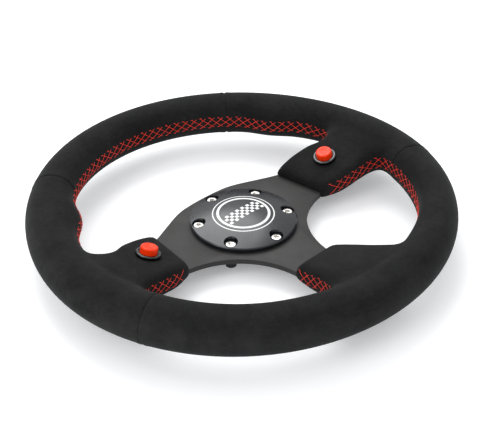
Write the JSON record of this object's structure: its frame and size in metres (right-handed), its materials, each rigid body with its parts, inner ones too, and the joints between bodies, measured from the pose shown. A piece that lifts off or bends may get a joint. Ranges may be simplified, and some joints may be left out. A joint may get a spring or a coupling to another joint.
{
  "type": "steering wheel",
  "caption": "Three-spoke round steering wheel in black suede with red cross stitching, a flat spoke plate, a bolted centre plate and a sprung thumb button on each side spoke.",
  "frame": {"origin": "on the steering axis, in the back face that a hub or quick release bolts against", "axes": "+Z along the steering axis towards the driver, +Y towards the top of the wheel, +X to the driver's right"},
  "size_m": [0.3296, 0.326, 0.0481],
  "materials": {
    "suede": "napped suede",
    "foam": "moulded foam",
    "black_plate": "black anodised, satin",
    "gloss_black": "black anodised, polished",
    "bare_aluminium": "as extruded",
    "zinc_steel": "zinc plated",
    "black_steel": "black oxide",
    "white_enamel": "satin",
    "red_plastic": "gloss",
    "black_plastic": "satin",
    "rubber": "matt",
    "copper": "bright"
  },
  "bodies": {
    "wheel": {"badge_ring_inner": "white_enamel", "badge_ring_outer": "white_enamel", "centre_plate": "gloss_black", "centre_screw_1": "zinc_steel", "centre_screw_2": "zinc_steel", "centre_screw_3": "zinc_steel", "centre_screw_4": "zinc_steel", "centre_screw_5": "zinc_steel", "centre_screw_6": "zinc_steel", "left_bezel_ring": "black_steel", "left_cover": "suede", "left_gasket": "rubber", "left_mounting_nut": "black_steel", "left_return_spring": "zinc_steel", "left_switch_barrel": "black_plastic", "left_switch_base": "black_plastic", "left_terminal_a": "copper", "left_terminal_b": "copper", "lower_cover": "suede", "right_bezel_ring": "black_steel", "right_cover": "suede", "right_gasket": "rubber", "right_mounting_nut": "black_steel", "right_return_spring": "zinc_steel", "right_switch_barrel": "black_plastic", "right_switch_base": "black_plastic", "right_terminal_a": "copper", "right_terminal_b": "copper", "rim_core_ring": "bare_aluminium", "rim_foam": "foam", "sleeve_nut_1": "black_steel", "sleeve_nut_2": "black_steel", "sleeve_nut_3": "black_steel", "sleeve_nut_4": "black_steel", "sleeve_nut_5": "black_steel", "sleeve_nut_6": "black_steel", "spoke_plate": "black_plate", "top_cover": "suede"},
    "left_button": {"left_button_cap": "red_plastic", "left_plunger": "black_plastic", "left_contact_bridge": "copper"},
    "right_button": {"right_button_cap": "red_plastic", "right_plunger": "black_plastic", "right_contact_bridge": "copper"}
  },
  "joints": [
    {"name": "left_button_press", "type": "slide", "parent": "wheel", "child": "left_button", "axis": [-0.2607, 0, -0.9654], "range_m": [0, 0.002], "stiffness_N_per_m": 600, "springref_m": -0.0015, "deforming": ["left_return_spring"]},
    {"name": "right_button_press", "type": "slide", "parent": "wheel", "child": "right_button", "axis": [0.2607, 0, -0.9654], "range_m": [0, 0.002], "stiffness_N_per_m": 600, "springref_m": -0.0015, "deforming": ["right_return_spring"]}
  ]
}
